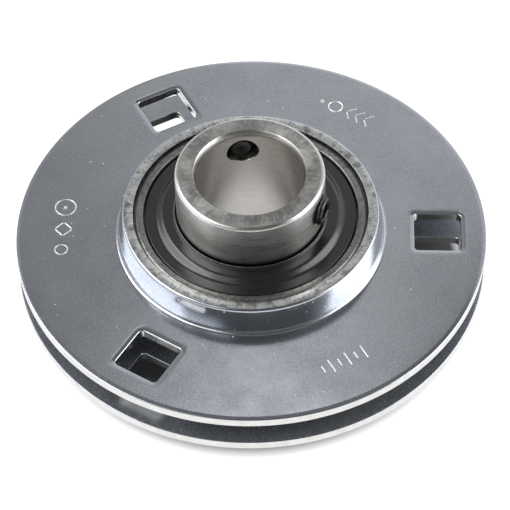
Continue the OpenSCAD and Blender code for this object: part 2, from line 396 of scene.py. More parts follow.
class Stamp:
    """V-shaped cutters for one group of stamped marks, at MARK_R and an angle round the flange.

    Places are (u, v) in metres from the group's middle: u runs round the flange and v outwards.
    """

    def __init__(self, bm, degrees):
        self.bm = bm
        self.angle = math.radians(degrees)

    def vert(self, u, v, z):
        across = Vector((math.cos(self.angle), math.sin(self.angle), 0))
        along = Vector((-across.y, across.x, 0))
        return self.bm.verts.new(across * (MARK_R + v) + along * u + Vector((0, 0, Size.sheet + z)))

    def face(self, *verts):
        self.bm.faces.new(verts).material_index = MARK

    def stroke(self, start, end):
        start, end = Vector(start), Vector(end)
        run = (end - start).normalized() * MARK_HALF_W
        side = Vector((-run.y, run.x))
        low, high = (self.vert(*p, -MARK_DEPTH) for p in (start, end))
        corners = (start - run - side, start - run + side, end + run + side, end + run - side)
        a, b, c, d = (self.vert(*p, MARK_CLEAR) for p in corners)
        self.face(a, b, c, d)
        self.face(b, a, low)
        self.face(d, c, high)
        self.face(a, d, high, low)
        self.face(c, b, low, high)

    def strokes(self, *points):
        """Separate strokes between each two points, so that they don't touch."""
        for start, end in zip(points[::2], points[1::2]):
            self.stroke(start, end)

    def diamond(self, centre, radius, gap=0.14):
        """Four strokes from corner to corner, each stopping short of both by a share of its length."""
        middle = Vector(centre)
        corners = [middle + Vector((radius * math.cos(a), radius * math.sin(a)))
                   for a in (math.pi / 2 * k for k in range(4))]
        for k in range(4):
            start, end = corners[k], corners[(k + 1) % 4]
            self.stroke(start.lerp(end, gap), end.lerp(start, gap))

    def circle(self, centre, radius, z, steps):
        u, v = centre
        angles = [2 * math.pi * k / steps for k in range(steps)]
        return [self.vert(u + radius * math.cos(a), v + radius * math.sin(a), z) for a in angles]

    def ring(self, centre, radius, steps=20):
        profile = ((-MARK_HALF_W, MARK_CLEAR), (0, -MARK_DEPTH), (MARK_HALF_W, MARK_CLEAR))
        loops = [self.circle(centre, radius + out, z, steps) for out, z in profile]
        for i, loop in enumerate(loops):
            other = loops[(i + 1) % len(loops)]
            for k in range(steps):
                m = (k + 1) % steps
                self.face(loop[k], loop[m], other[m], other[k])

    def dot(self, centre, radius, steps=10):
        tip = self.vert(*centre, -MARK_DEPTH)
        rim = self.circle(centre, radius, MARK_CLEAR, steps)
        self.face(*rim)
        for k in range(steps):
            self.face(rim[k], rim[(k + 1) % steps], tip)


def stamp_cutters():
    """Neutral marks between the bolt holes: rings, dots, a diamond, chevrons and bars."""
    bm = bmesh.new()
    left = Stamp(bm, 180)
    left.ring((-4.6 * MM, 0), 2.0 * MM)
    left.dot((-4.6 * MM, 0), 0.5 * MM)
    left.diamond((0.9 * MM, 0), 1.7 * MM)
    left.ring((6.0 * MM, 0), 1.2 * MM)

    back = Stamp(bm, 60)
    for u in (-5.4 * MM, -3.4 * MM, -1.4 * MM):
        back.strokes((u, -1.5 * MM), (u + 1.0 * MM, -0.3 * MM), (u + 1.0 * MM, 0.3 * MM), (u, 1.5 * MM))
    back.ring((2.4 * MM, 0), 1.4 * MM)
    back.dot((5.4 * MM, 0), 0.6 * MM)

    front = Stamp(bm, 300)
    for k in range(6):
        tall = 1.4 * MM if k % 2 else 0.7 * MM
        front.strokes((1.7 * MM * (k - 2.5), -tall), (1.7 * MM * (k - 2.5), tall))

    bmesh.ops.recalc_face_normals(bm, faces=bm.faces)
    mesh = bpy.data.meshes.new("stamp_cutters")
    bm.to_mesh(mesh)
    bm.free()
    return mesh


def add_housing_halves():
    materials = [zinc_sheet(), sheared_edge(), cut_edge(), parting_face(), stamped_zinc_painted_highlight()]
    front = finish_piece("front_housing_half_shell", housing_bmesh(), materials, "front_housing_half")
    cut_with(front, stamp_cutters())
    bm = housing_bmesh()
    for v in bm.verts:
        v.co.z = Size.rear_parting_z - v.co.z
    finish_piece("rear_housing_half_shell", bm, materials[:MARK], "rear_housing_half")


# ---------------------------------------------------------------- the bearing's pieces
RACE_GAP = 0.02 * MM
OUTER_CHAMFER = 0.8 * MM
INNER_CHAMFER = 0.8 * MM
BORE_CHAMFER_W = 0.6 * MM
BORE_CHAMFER_LEN = 1.1 * MM
THREAD_PITCH = 0.75 * MM
SCREW_R = 2.75 * MM
SCREW_TIP_R = 10.7 * MM
SCREW_LENGTH = 4.5 * MM
SCREW_HOLE_R = 2.8 * MM
SCREW_HOLE_FLARE_R = SCREW_HOLE_R + 0.35 * MM
CUTTER_PAST = 3 * MM
SCREW_STEPS = 72
SCREW_ROWS = 48
THREAD_DEPTH = 0.36 * MM
# The screw's cone at its point and its chamfer at the outer end: first radius, and growth along it.
POINT_R = 1.7 * MM
POINT_SLOPE = 1.15
SCREW_CHAMFER = 0.4 * MM
# Radius and depth of the cup in the point, and half width and depth of the hexagon socket.
CUP = ((0.3 * MM, 0.55 * MM), (1.3 * MM, 0.05 * MM), (1.55 * MM, 0))
SOCKET = ((1.72 * MM, 0), (1.5 * MM, 0.22 * MM), (1.5 * MM, 1.8 * MM))
SOCKET_TIP = (0.3 * MM, 2.4 * MM)
COLLAR_R = Size.inner_r + 0.55 * MM
COLLAR_H = 0.4 * MM
STEP_H = 0.9 * MM
STEP_W = 1.9 * MM
STEP_AT_R = 17.3 * MM
FLINGER_SHEET = 0.5 * MM
WASHER_BORE_R = 15.9 * MM
LIP_BODY_R = 15.0 * MM
LIP_GAP = 0.03 * MM


def groove_arc(centre_r, radius, edge_r, steps=10):
    """Half of a race's arc, from its deepest point at z = 0 up to the shoulder at edge_r."""
    deepest = 0 if edge_r < centre_r + radius and edge_r > centre_r else 180
    edge = math.degrees(math.acos((edge_r - centre_r) / radius))
    return arc((centre_r, 0), radius, deepest, edge, steps)


def add_outer_ring(steel):
    groove = 0.52 * 2 * Size.ball_r
    groove_at = Size.pitch_r + Size.ball_r + RACE_GAP - groove
    face = Size.ring_half_w
    edge_angle = math.degrees(math.asin((face - OUTER_CHAMFER) / Size.ring_r))
    face_r = math.sqrt(Size.ring_r ** 2 - face ** 2) - OUTER_CHAMFER
    washer_low, washer_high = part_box("front_seal_washer")[0].z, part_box("front_seal_washer")[1].z
    washer_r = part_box("front_seal_washer")[1].x
    inside = groove_arc(groove_at, groove, Size.shoulder_r)
    inside += [(Size.shoulder_r, washer_low - 0.2 * MM), (Size.shoulder_r + 0.2 * MM, washer_low),
               (washer_r, washer_low), (washer_r, washer_high), (Size.recess_r, washer_high)]
    inside += arc((Size.recess_r + 0.3 * MM, face - 0.3 * MM), 0.3 * MM, 180, 90, 5)
    inside += [(face_r - 0.05 * MM, face), (face_r + 0.12 * MM, face - 0.04 * MM)]
    outside = arc((0, 0), Size.ring_r, edge_angle, 0, 14)
    outline = inside + [(outside[0][0] - 0.12 * MM, outside[0][1] + 0.2 * MM)] + outside
    upper = outline[1:-1]
    closed = [outline[0]] + upper + [outline[-1]] + [(r, -z) for r, z in reversed(upper)]
    return revolved("outer_ring_body", closed, [steel], "outer_ring")


def bore_end(z, inward):
    """The bore's chamfer at one end, from the bore to the face, softened where it meets each."""
    r, w, depth = Size.bore_r, BORE_CHAMFER_W, BORE_CHAMFER_LEN * inward
    return [(r, z - depth * 1.12), (r + 0.02 * MM, z - depth * 0.92), (r + w * 0.9, z - depth * 0.1),
            (r + w + 0.06 * MM, z)]


def add_inner_ring(wall, face, bore):
    """Material 0 is the ground wall, 1 the end faces, 2 the bore."""
    top, bottom, r = Size.inner_top, Size.inner_bottom, Size.inner_r
    groove = 0.515 * 2 * Size.ball_r
    groove_at = Size.pitch_r - Size.ball_r - RACE_GAP + groove
    half_groove = groove_arc(groove_at, groove, r)
    race = list(reversed(half_groove)) + [(q, -z) for q, z in half_groove[1:]]
    top_edge = arc((r - INNER_CHAMFER, top - INNER_CHAMFER), INNER_CHAMFER, 0, 90, 6)
    low_edge = arc((r - INNER_CHAMFER, bottom + INNER_CHAMFER), INNER_CHAMFER, 270, 360, 6)
    top_end = bore_end(top, 1)
    low_end = bore_end(bottom, -1)
    outline = top_end + top_edge[::-1] + race + low_edge[::-1] + low_end[::-1]
    count = len(outline)
    end_faces = (len(top_end) - 1, count - len(low_end) - 1)
    bore_faces = (0, count - 2, count - 1)

    def material(i):
        if i in end_faces:
            return 1
        return 2 if i in bore_faces else 0

    bm = bmesh.new()
    add_rings(bm, outline, True, ALL_ROUND, material)
    ring = finish_piece("inner_ring_body", bm, [wall, face, bore], "inner_ring")
    for i in (1, 2):
        cut_with(ring, screw_hole_cutter(i))
    return ring


def screw_frame(i):
    """Moves +Z at the origin onto a grub screw's axis, pointing away from the shaft."""
    low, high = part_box(f"grub_screw_{i}")
    middle = (low + high) / 2
    out = Vector((middle.x, middle.y, 0)).normalized()
    across = Vector((0, 0, 1)).cross(out)
    turn = Matrix((across, Vector((0, 0, 1)), out)).transposed().to_4x4()
    turn.translation = Vector((0, 0, middle.z))
    return turn


def add_tube_of(bm, outline, steps):
    """A solid of revolution round Z from an outline (r, z) whose ends lie on the axis."""
    angles = [2 * math.pi * j / steps for j in range(steps)]
    rings = [[bm.verts.new(polar(r, a, z)) for a in angles] for r, z in outline if r > 0]
    for lower, upper in zip(rings, rings[1:]):
        for j in range(steps):
            k = (j + 1) % steps
            bm.faces.new((lower[j], lower[k], upper[k], upper[j]))
    for ring, (_, z) in ((rings[0], outline[0]), (rings[-1], outline[-1])):
        tip = bm.verts.new((0, 0, z))
        for j in range(steps):
            bm.faces.new((ring[j], ring[(j + 1) % steps], tip))


def screw_hole_cutter(i):
    """A drill that flares a little where it meets the bore and the ring's outside."""
    low, high = Size.bore_r, Size.inner_r
    outline = [(0, low - CUTTER_PAST), (SCREW_HOLE_FLARE_R, low - CUTTER_PAST),
               (SCREW_HOLE_FLARE_R, low - 0.5 * MM), (SCREW_HOLE_R, low + 0.25 * MM),
               (SCREW_HOLE_R, high - 0.75 * MM), (SCREW_HOLE_FLARE_R, high - 0.3 * MM),
               (SCREW_HOLE_FLARE_R, high + CUTTER_PAST), (0, high + CUTTER_PAST)]
    bm = bmesh.new()
    add_tube_of(bm, outline, 64)
    bmesh.ops.recalc_face_normals(bm, faces=bm.faces)
    bmesh.ops.transform(bm, matrix=screw_frame(i), verts=bm.verts)
    mesh = bpy.data.meshes.new("cutter")
    bm.to_mesh(mesh)
    bm.free()
    return mesh


def cut_with(piece, cutter_mesh):
    """Cuts a mesh out of a piece and keeps the result as the piece's own mesh."""
    cutter = bpy.data.objects.new("cutter", cutter_mesh)
    bpy.context.scene.collection.objects.link(cutter)
    normals = piece.modifiers["normals"]
    normals.show_viewport = False
    boolean = piece.modifiers.new("cut", "BOOLEAN")
    boolean.object = cutter
    boolean.operation = "DIFFERENCE"
    boolean.solver = "EXACT"
    bpy.context.view_layer.update()
    evaluated = piece.evaluated_get(bpy.context.evaluated_depsgraph_get())
    result = bpy.data.meshes.new_from_object(evaluated)
    piece.modifiers.remove(boolean)
    piece.data = result
    normals.show_viewport = True
    bpy.data.objects.remove(cutter)
    result.shade_smooth()
    result.set_sharp_from_angle(angle=math.radians(SHARP_ANGLE))


def thread_radius(along, turn):
    """Radius of the rounded V thread at a distance along the screw and a part of a turn round it."""
    root = SCREW_R - THREAD_DEPTH
    phase = (along / THREAD_PITCH - turn) % 1
    ridge = 1 - abs(2 * phase - 1)
    radius = root + THREAD_DEPTH * ridge * ridge * (3 - 2 * ridge)
    point = POINT_R + along * POINT_SLOPE
    end = SCREW_R - SCREW_CHAMFER + (SCREW_LENGTH - along)
    return min(radius, point, end)


def hexagon_radius(half_width, turn):
    """Distance from a hexagon's middle to its side, in the direction of a part of a turn."""
    within = (2 * math.pi * turn + math.pi / 6) % (math.pi / 3) - math.pi / 6
    return half_width / math.cos(within)


def screw_ring(bm, radius_at, z):
    """A ring of vertices round a screw's axis, its radius worked out from the part of a turn."""
    turns = [j / SCREW_STEPS for j in range(SCREW_STEPS)]
    return [bm.verts.new(polar(radius_at(t), 2 * math.pi * t, z)) for t in turns]


def add_grub_screw(i, black):
    """From the bottom of the cup, out over the thread, and down into the hexagon socket."""
    bm = bmesh.new()
    end_z = SCREW_TIP_R + SCREW_LENGTH
    chain = [screw_ring(bm, lambda t: r, SCREW_TIP_R + depth) for r, depth in CUP]
    for row in range(SCREW_ROWS + 1):
        along = SCREW_LENGTH * row / SCREW_ROWS
        chain.append(screw_ring(bm, lambda t: thread_radius(along, t), SCREW_TIP_R + along))
    chain += [screw_ring(bm, lambda t: hexagon_radius(half, t), end_z - depth) for half, depth in SOCKET]
    chain.append(screw_ring(bm, lambda t: SOCKET_TIP[0], end_z - SOCKET_TIP[1]))
    for lower, upper in zip(chain, chain[1:]):
        for j in range(SCREW_STEPS):
            k = (j + 1) % SCREW_STEPS
            bm.faces.new((lower[j], lower[k], upper[k], upper[j]))
    bm.faces.new(chain[0])
    bm.faces.new(chain[-1])
    bmesh.ops.transform(bm, matrix=screw_frame(i), verts=bm.verts)
    return finish_piece(f"grub_screw_{i}_body", bm, [black], f"grub_screw_{i}", 30)


def add_flinger(side, black, bright):
    """A pressed disc: a collar, two flats with a conical step between them, and a turned hem."""
    node = f"{side}_flinger"
    low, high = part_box(node)
    sign = 1 if side == "front" else -1
    tall = max(abs(low.z), abs(high.z))
    hem = min(abs(low.z), abs(high.z))
    rim, hole = high.x, Size.inner_r
    inner_flat = tall - COLLAR_H
    outer_flat = inner_flat - STEP_H
    sheet, lip = FLINGER_SHEET, 0.25 * MM

    def step(z, steps=16):
        """The rounded step down from the inner flat to the outer one."""
        places = [k / steps for k in range(steps + 1)]
        return [(STEP_AT_R + STEP_W * (t - 0.5), z - STEP_H * (1 - math.cos(math.pi * t)) / 2)
                for t in places]

    top = [(hole, tall - 0.45 * MM), (hole + 0.12 * MM, tall - 0.3 * MM), (hole + lip, tall - 0.04 * MM),
           (hole + 0.33 * MM, tall)]
    top += arc((COLLAR_R - 0.12 * MM, tall - 0.12 * MM), 0.12 * MM, 90, 10, 4)
    top += arc((COLLAR_R + 0.3 * MM, inner_flat + 0.3 * MM), 0.3 * MM, 190, 270, 5)
    top += step(inner_flat)
    top += arc((rim - 0.25 * MM, outer_flat - 0.25 * MM), 0.25 * MM, 90, 0, 5)
    under = [(rim, hem), (rim - sheet, hem)]
    under += arc((rim - sheet - 0.15 * MM, outer_flat - sheet - 0.15 * MM), 0.15 * MM, 0, 90, 3)
    under += list(reversed(step(inner_flat - sheet))) + [(hole, inner_flat - sheet)]
    outline = [(r, sign * z) for r, z in top + under]
    return revolved(f"{node}_body", outline, [black, bright], node, lambda i: 1 if 2 <= i <= 5 else 0)


def add_seal(side, washer_material, rubber):
    sign = 1 if side == "front" else -1
    low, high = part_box(f"{side}_seal_washer")
    z_low, z_high = sorted((abs(low.z), abs(high.z)))
    hole = WASHER_BORE_R
    corners = [(hole, z_low), (high.x, z_low), (high.x, z_high), (hole, z_high)]
    outline = [(r, sign * z) for r, z in rounded(corners, [0.1 * MM] * 4)]
    revolved(f"{side}_seal_washer_body", outline, [washer_material], f"{side}_seal_washer")
    low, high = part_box(f"{side}_seal_lip")
    lip_low, lip_high = sorted((abs(low.z), abs(high.z)))
    tip = Size.inner_r + LIP_GAP
    body, rim = LIP_BODY_R, high.x
    corners = [(tip, lip_low), (rim, lip_low), (rim, z_low), (hole, z_low), (hole, z_high), (rim, z_high),
               (rim, lip_high), (tip, lip_high), (tip, lip_high - 0.25 * MM), (body, lip_high - 0.35 * MM),
               (body, lip_low + 0.35 * MM), (tip, lip_low + 0.25 * MM)]
    radii = [0.08 * MM, 0.02 * MM, 0, 0, 0, 0,
             0.12 * MM, 0.08 * MM, 0.08 * MM, 0.1 * MM, 0.1 * MM, 0.08 * MM]
    outline = [(r, sign * z) for r, z in rounded(corners, radii)]
    revolved(f"{side}_seal_lip_body", outline, [rubber], f"{side}_seal_lip")


def add_ball(i, steel):
    low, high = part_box(f"ball_{i}")
    bm = bmesh.new()
    outline = [(0, -Size.ball_r)] + arc((0, 0), Size.ball_r, -84, 84, 28) + [(0, Size.ball_r)]
    add_tube_of(bm, outline, 48)
    bmesh.ops.translate(bm, vec=(low + high) / 2, verts=bm.verts)
    finish_piece(f"ball_{i}_body", bm, [steel], f"ball_{i}")


# ---------------------------------------------------------------- materials
class Tree:
    """A node tree, with short calls for the nodes that materials and sky share."""

    def __init__(self, tree):
        self.tree = tree

    def add(self, kind, inputs=None, **settings):
        node = self.tree.nodes.new(kind)
        for key, value in settings.items():
            setattr(node, key, value)
        for key, value in (inputs or {}).items():
            if isinstance(value, bpy.types.NodeSocket):
                self.tree.links.new(value, node.inputs[key])
            else:
                node.inputs[key].default_value = value
        return node

    def math(self, operation, a, b=0.0):
        return self.add("ShaderNodeMath", {0: a, 1: b}, operation=operation).outputs[0]

    def mix(self, factor, a, b, **settings):
        inputs = {"Factor": factor, 6: a, 7: b}
        return self.add("ShaderNodeMix", inputs, data_type="RGBA", **settings).outputs[2]


class Nodes(Tree):
    """A material's node tree."""

    def __init__(self, name):
        self.material = bpy.data.materials.new(name)
        self.material.use_nodes = True
        super().__init__(self.material.node_tree)
        self.shader = self.tree.nodes["Principled BSDF"]
        self.place = self.add("ShaderNodeTexCoord").outputs["Object"]

    def noise(self, scale, detail=3.0, rough=0.55, vector=None):
        inputs = {"Vector": vector or self.place, "Scale": scale, "Detail": detail, "Roughness": rough}
        return self.add("ShaderNodeTexNoise", inputs).outputs["Fac"]

    def range(self, value, low, high, to_low, to_high):
        node = self.add("ShaderNodeMapRange", {"Value": value, "From Min": low, "From Max": high,
                                               "To Min": to_low, "To Max": to_high})
        return node.outputs["Result"]

    def bump(self, height, strength, distance, normal=None):
        inputs = {"Height": height, "Strength": strength, "Distance": distance}
        if normal:
            inputs["Normal"] = normal
        return self.add("ShaderNodeBump", inputs).outputs["Normal"]

    def cylinder_place(self, around, across):
        """Coordinates round the shaft axis: (angle x around, radius x across, height x across)."""
        parts = self.add("ShaderNodeSeparateXYZ", {0: self.place}).outputs
        angle = self.math("ARCTAN2", parts["Y"], parts["X"])
        radius = self.math("SQRT", self.math("ADD", self.math("MULTIPLY", parts["X"], parts["X"]),
                                             self.math("MULTIPLY", parts["Y"], parts["Y"])))
        return self.add("ShaderNodeCombineXYZ", {0: self.math("MULTIPLY", angle, around),
                                                 1: self.math("MULTIPLY", radius, across),
                                                 2: self.math("MULTIPLY", parts["Z"], across)}).outputs[0]

    def ground(self, **inputs):
        """Metal ground round the shaft axis, which spreads its highlights across the grinding lines."""
        tangent = self.add("ShaderNodeTangent", direction_type="RADIAL", axis="Z").outputs[0]
        return self.set(Metallic=1.0, Anisotropic=0.6, Anisotropic_Rotation=0.25, Tangent=tangent, **inputs)

    def set(self, **inputs):
        for key, value in inputs.items():
            socket = self.shader.inputs[key.replace("_", " ")]
            if isinstance(value, bpy.types.NodeSocket):
                self.tree.links.new(value, socket)
            else:
                socket.default_value = value
        return self.material


def zinc_sheet():
    """Bluish bright zinc plate on rolled sheet: slightly wavy, clouded, with fine grain and a few rough
    raised specks, painted near white as glints.
    """
    n = Nodes("zinc_sheet")
    cloud = n.noise(55, 4)
    stain = n.noise(170, 5, 0.62)
    grain = n.noise(2600, 3, 0.6)
    fleck = n.add("ShaderNodeTexVoronoi", {"Vector": n.place, "Scale": 450.0}).outputs["Distance"]
    chosen = n.range(n.noise(330, 2), 0.46, 0.5, 0.0, 1.0)
    speck_and_painted_glint = n.math("MULTIPLY", n.range(fleck, 0.035, 0.07, 0.8, 0.0), chosen)
    tone = n.mix(n.range(cloud, 0.35, 0.65, 0.0, 1.0), (0.45, 0.475, 0.53, 1), (0.55, 0.575, 0.63, 1))
    tone = n.mix(n.range(stain, 0.4, 0.7, 0.0, 0.5), tone, (0.395, 0.42, 0.465, 1))
    tone = n.mix(n.range(grain, 0.35, 0.65, 0.0, 0.5), tone, (0.68, 0.70, 0.73, 1))
    # Painted glint: the specks' colour is set near white.
    tone = n.mix(speck_and_painted_glint, tone, (0.95, 0.95, 0.95, 1))
    rough = n.math("ADD", n.range(stain, 0.3, 0.7, 0.13, 0.2), n.math("MULTIPLY", speck_and_painted_glint, 0.4))
    waves = n.bump(n.noise(38, 2), 0.35, 0.05 * MM)
    bumps = n.bump(stain, 0.12, 0.01 * MM, waves)
    bumps = n.bump(grain, 0.9, 0.006 * MM, bumps)
    bumps = n.bump(speck_and_painted_glint, 0.8, 0.03 * MM, bumps)
    return n.set(Base_Color=tone, Metallic=n.range(speck_and_painted_glint, 0.0, 1.0, 1.0, 0.4), Roughness=rough, Normal=bumps)


def sheared_edge():
    """The burnished band that a blanking die leaves, plated like the rest."""
    n = Nodes("zinc_sheared_edge")
    streak = n.noise(1.0, 3, 0.6, n.cylinder_place(30, 700))
    scratch = n.noise(1.0, 3, 0.6, n.cylinder_place(60, 300))
    tone = n.mix(n.range(streak, 0.35, 0.65, 0.0, 1.0), (0.62, 0.62, 0.61, 1), (0.70, 0.70, 0.69, 1))
    rough = n.range(scratch, 0.3, 0.7, 0.16, 0.24)
    return n.set(Base_Color=tone, Metallic=1.0, Roughness=rough, Normal=n.bump(streak, 0.15, 0.01 * MM))


def stamped_zinc_painted_highlight():
    """The marks, painted brighter than the face round them: a painted highlight for the glints off their
    slopes.
    """
    n = Nodes("zinc_stamped_painted_highlight")
    grain = n.noise(2600, 3, 0.6)
    # Painted highlight: the marks' tone is set near white.
    tone = n.mix(n.range(grain, 0.35, 0.65, 0.0, 1.0), (0.80, 0.81, 0.83, 1), (0.92, 0.92, 0.93, 1))
    rough = n.range(grain, 0.3, 0.7, 0.3, 0.45)
    return n.set(Base_Color=tone, Metallic=0.7, Roughness=rough, Normal=n.bump(grain, 0.3, 0.01 * MM))


def parting_face():
    """The side of the sheet that lies against the other half: duller, with a milky haze."""
    n = Nodes("zinc_parting_face")
    cloud = n.noise(90, 4)
    scuff = n.noise(900, 4, 0.6)
    tone = n.mix(n.range(cloud, 0.3, 0.7, 0.0, 1.0), (0.42, 0.44, 0.47, 1), (0.50, 0.52, 0.55, 1))
    rough = n.range(scuff, 0.3, 0.7, 0.2, 0.3)
    return n.set(Base_Color=tone, Metallic=0.84, Roughness=rough, Normal=n.bump(scuff, 0.08, 0.01 * MM))


def cut_edge():
    n = Nodes("zinc_cut_edge")
    streak = n.noise(1.0, 4, 0.7, n.cylinder_place(160, 600))
    pits = n.noise(3000, 3)
    soot = n.noise(520, 4, 0.7)
    tone = n.mix(n.range(streak, 0.35, 0.65, 0.0, 1.0), (0.50, 0.52, 0.52, 1), (0.92, 0.94, 0.94, 1))
    tone = n.mix(n.range(soot, 0.47, 0.64, 0.0, 0.75), tone, (0.16, 0.165, 0.16, 1))
    rough = n.range(pits, 0.3, 0.7, 0.26, 0.42)
    bumps = n.bump(streak, 0.6, 0.05 * MM)
    return n.set(Base_Color=tone, Metallic=1.0, Roughness=rough, Normal=n.bump(pits, 0.5, 0.025 * MM, bumps))


WALL_SHADE_FROM = 8.2 * MM
WALL_SHADE_TO = 9.4 * MM


def ring_steel():
    """Fine ground steel, with its grinding lines round the shaft."""
    n = Nodes("ring_steel")
    lines = n.noise(1.0, 3, 0.6, n.cylinder_place(3, 9000))
    cloud = n.noise(250, 3)
    grit = n.noise(1500, 4, 0.65)
    tone = n.mix(n.range(cloud, 0.3, 0.7, 0.0, 1.0), (0.27, 0.27, 0.26, 1), (0.37, 0.37, 0.355, 1))
    tone = n.mix(n.range(grit, 0.5, 0.65, 0.0, 0.7), tone, (0.08, 0.08, 0.078, 1))
    rough = n.range(lines, 0.3, 0.7, 0.28, 0.40)
    return n.ground(Base_Color=tone, Roughness=rough, Normal=n.bump(lines, 0.2, 0.006 * MM))


def ground_wall():
    """The ground wall, its tone painted nearly black towards each flinger's collar: painted shade in the
    corner.
    """
    n = Nodes("inner_ring_wall")
    lines = n.noise(1.0, 3, 0.6, n.cylinder_place(2, 5200))
    cloud = n.noise(180, 4)
    tone = n.mix(n.range(cloud, 0.3, 0.7, 0.0, 1.0), (0.58, 0.57, 0.55, 1), (0.70, 0.69, 0.67, 1))
    height = n.math("ABSOLUTE", n.add("ShaderNodeSeparateXYZ", {0: n.place}).outputs["Z"])
    # Painted shade: the wall's tone fades to near black close to each end, where a flinger's collar meets
    # it.
    unshaded = n.range(height, WALL_SHADE_FROM, WALL_SHADE_TO, 0.0, 1.0)
    tone = n.mix(unshaded, (0.03, 0.029, 0.028, 1), tone)
    rough = n.range(lines, 0.3, 0.7, 0.24, 0.33)
    return n.ground(Base_Color=tone, Roughness=rough, Normal=n.bump(lines, 0.12, 0.006 * MM))


def ground_face():
    """An end face with crossed grinding marks and a mottled sheen."""
    n = Nodes("inner_ring_face")
    streak = n.noise(1.0, 4, 0.65, n.cylinder_place(26, 700))
    mottle = n.noise(420, 4, 0.65)
    sweep = n.noise(1.0, 2, 0.5, n.cylinder_place(2.2, 160))
    tone = n.mix(n.range(mottle, 0.35, 0.65, 0.0, 1.0), (0.36, 0.355, 0.345, 1), (0.66, 0.655, 0.64, 1))
    tone = n.mix(n.range(sweep, 0.42, 0.58, 0.0, 0.65), tone, (0.20, 0.197, 0.19, 1))
    tone = n.mix(n.range(streak, 0.5, 0.66, 0.0, 0.45), tone, (0.85, 0.84, 0.82, 1))
    rough = n.math("ADD", n.range(mottle, 0.3, 0.7, 0.28, 0.38), n.range(streak, 0.3, 0.7, -0.04, 0.06))
    bumps = n.bump(streak, 0.5, 0.02 * MM, n.bump(mottle, 0.4, 0.025 * MM))
    return n.ground(Base_Color=tone, Roughness=rough, Normal=bumps)


def bore_steel():
    n = Nodes("inner_ring_bore")
    lines = n.noise(1.0, 2, 0.5, n.cylinder_place(1.5, 3000))
    stain = n.noise(140, 4, 0.6)
    tone = n.mix(n.range(stain, 0.3, 0.7, 0.0, 1.0), (0.64, 0.62, 0.59, 1), (0.72, 0.70, 0.67, 1))
    rough = n.range(lines, 0.3, 0.7, 0.26, 0.3)
    return n.ground(Base_Color=tone, Roughness=rough, Normal=n.bump(lines, 0.01, 0.005 * MM))


def polished_steel():
    n = Nodes("ball_steel")
    haze = n.noise(700, 3)
    tone = n.mix(n.range(haze, 0.3, 0.7, 0.0, 1.0), (0.70, 0.70, 0.69, 1), (0.76, 0.76, 0.75, 1))
    return n.set(Base_Color=tone, Metallic=1.0, Roughness=n.range(haze, 0.3, 0.7, 0.06, 0.12))


def black_coating():
    """Black lacquered sheet: glossy, with a faint orange peel."""
    n = Nodes("black_coating")
    peel = n.noise(1500, 2)
    dust = n.noise(5200, 2)
    tone = n.mix(n.range(dust, 0.55, 0.75, 0.0, 0.5), (0.005, 0.005, 0.005, 1), (0.03, 0.03, 0.03, 1))
    rough = n.range(peel, 0.3, 0.7, 0.2, 0.28)
    return n.set(Base_Color=tone, Roughness=rough, Normal=n.bump(peel, 0.15, 0.008 * MM), IOR=1.7)


def worn_edge():
    """Black lacquer worn through to bright steel along an edge."""
    n = Nodes("worn_edge")
    wear = n.range(n.noise(1.0, 3, 0.6, n.cylinder_place(40, 900)), 0.35, 0.6, 0.2, 1.0)
    tone = n.mix(wear, (0.05, 0.05, 0.05, 1), (0.3, 0.29, 0.28, 1))
    return n.set(Base_Color=tone, Metallic=0.9, Roughness=n.range(wear, 0, 1, 0.45, 0.35))


def black_oxide():
    n = Nodes("black_oxide")
    blotch = n.noise(900, 4)
    tone = n.mix(n.range(blotch, 0.35, 0.65, 0.0, 1.0), (0.025, 0.025, 0.027, 1), (0.09, 0.088, 0.085, 1))
    rough = n.range(blotch, 0.3, 0.7, 0.25, 0.42)
    return n.set(Base_Color=tone, Metallic=0.8, Roughness=rough, Normal=n.bump(blotch, 0.3, 0.01 * MM))


def seal_rubber():
    n = Nodes("seal_rubber")
    grain = n.noise(2600, 3)
    tone = n.mix(n.range(grain, 0.3, 0.7, 0.0, 1.0), (0.02, 0.02, 0.02, 1), (0.034, 0.034, 0.033, 1))
    rough = n.range(grain, 0.3, 0.7, 0.5, 0.65)
    return n.set(Base_Color=tone, Roughness=rough, Normal=n.bump(grain, 0.4, 0.01 * MM))


def cage_polyamide():
    n = Nodes("cage_polyamide")
    cloud = n.noise(300, 3)
    grain = n.noise(3000, 2)
    tone = n.mix(n.range(cloud, 0.3, 0.7, 0.0, 1.0), (0.60, 0.53, 0.38, 1), (0.72, 0.65, 0.49, 1))
    rough = n.range(grain, 0.3, 0.7, 0.42, 0.55)
    return n.set(Base_Color=tone, Roughness=rough, Subsurface_Weight=0.1,
                 Normal=n.bump(grain, 0.3, 0.008 * MM))


# ---------------------------------------------------------------- surroundings
FLOOR_HALF = 30.0
FLOOR_GLOW = 1.1
FLOOR_BORE_GLOW = 0.85
FLOOR_BORE_R = 3.0 * MM
FLOOR_DARK_FROM = 11.0 * MM
FLOOR_DARK_TO = 40.0 * MM
FLOOR_LIT_R = 43.5 * MM


